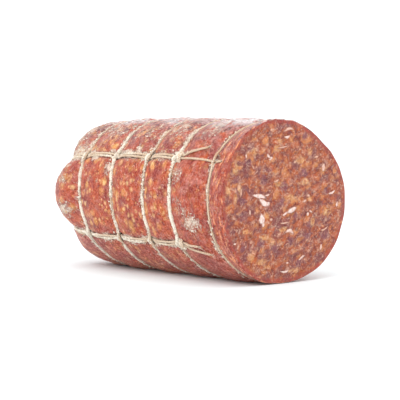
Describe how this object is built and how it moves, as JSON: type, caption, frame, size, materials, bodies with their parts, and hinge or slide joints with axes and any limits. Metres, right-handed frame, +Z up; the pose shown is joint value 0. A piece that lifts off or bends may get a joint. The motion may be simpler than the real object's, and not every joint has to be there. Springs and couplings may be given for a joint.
{
  "type": "half salami",
  "caption": "Half of a large spicy salami lying on its side: a coarse marbled cut face, a rounded tied end, and butcher's twine round and along its mouldy casing.",
  "frame": {"origin": "bottom centre of the bounding box, on the surface that the salami lies on", "axes": "+X along the log towards the cut face, +Z up, -Y towards the side that shows in the picture"},
  "size_m": [0.2101, 0.1145, 0.1108],
  "materials": {
    "meat": "satin casing with fat spots and dusty mould, moist coarse cut face",
    "twine": "dull twisted cotton with mould crust"
  },
  "bodies": {
    "root": {"salami": "meat", "hoop_1": "twine", "hoop_2": "twine", "hoop_3": "twine", "hoop_4": "twine", "hoop_5": "twine", "string_1_a": "twine", "string_1_b": "twine", "string_2_a": "twine", "string_2_b": "twine", "string_3_a": "twine", "string_3_b": "twine", "knot_1": "twine", "knot_2": "twine", "knot_3": "twine", "knot_4": "twine"}
  },
  "joints": []
}
